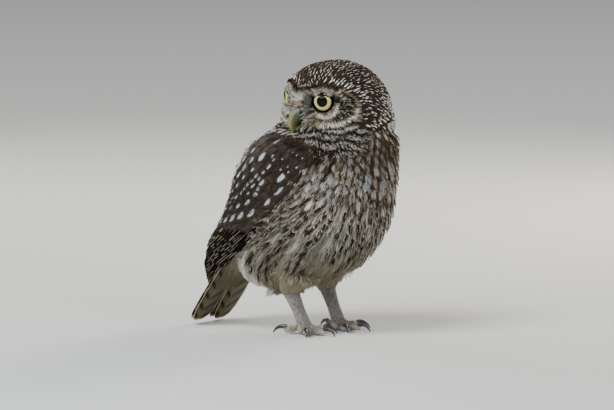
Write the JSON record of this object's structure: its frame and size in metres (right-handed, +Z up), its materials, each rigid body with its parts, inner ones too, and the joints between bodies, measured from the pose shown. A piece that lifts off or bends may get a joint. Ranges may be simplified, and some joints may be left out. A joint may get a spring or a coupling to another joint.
{
  "type": "bird model",
  "caption": "Life-size little owl standing upright on both feet, wings folded, head turned over its right shoulder; a still model of the whole bird.",
  "frame": {"origin": "on the floor under the middle of the model's own box", "axes": "+Z up; the body faces -Y and the owl's own left side is at +X; the head is turned towards -X"},
  "size_m": [0.1014, 0.1504, 0.182],
  "materials": {
    "plumage": "matte soft feathers, brown above with buff spots, off-white with brown streaks below",
    "flight_feather": "satin brown flight feathers with pale spots and bars",
    "leg_feather": "matte short pale feathers with fine dark specks",
    "bill_horn": "satin greenish-yellow horn",
    "claw_horn": "glossy dark slate horn",
    "eye": "clear glossy cornea over a lemon-yellow iris and a round black pupil"
  },
  "bodies": {
    "root": {"torso": "plumage", "neck": "plumage", "head": "plumage", "eye_left": "eye", "eye_right": "eye", "bill_upper": "bill_horn", "bill_lower": "bill_horn", "wing_left": "flight_feather", "wing_right": "flight_feather", "tail": "flight_feather", "thigh_left": "leg_feather", "shank_left": "leg_feather", "foot_left": "leg_feather", "claw_inner_left": "claw_horn", "claw_middle_left": "claw_horn", "claw_outer_left": "claw_horn", "claw_hind_left": "claw_horn", "thigh_right": "leg_feather", "shank_right": "leg_feather", "foot_right": "leg_feather", "claw_inner_right": "claw_horn", "claw_middle_right": "claw_horn", "claw_outer_right": "claw_horn", "claw_hind_right": "claw_horn"}
  },
  "joints": []
}
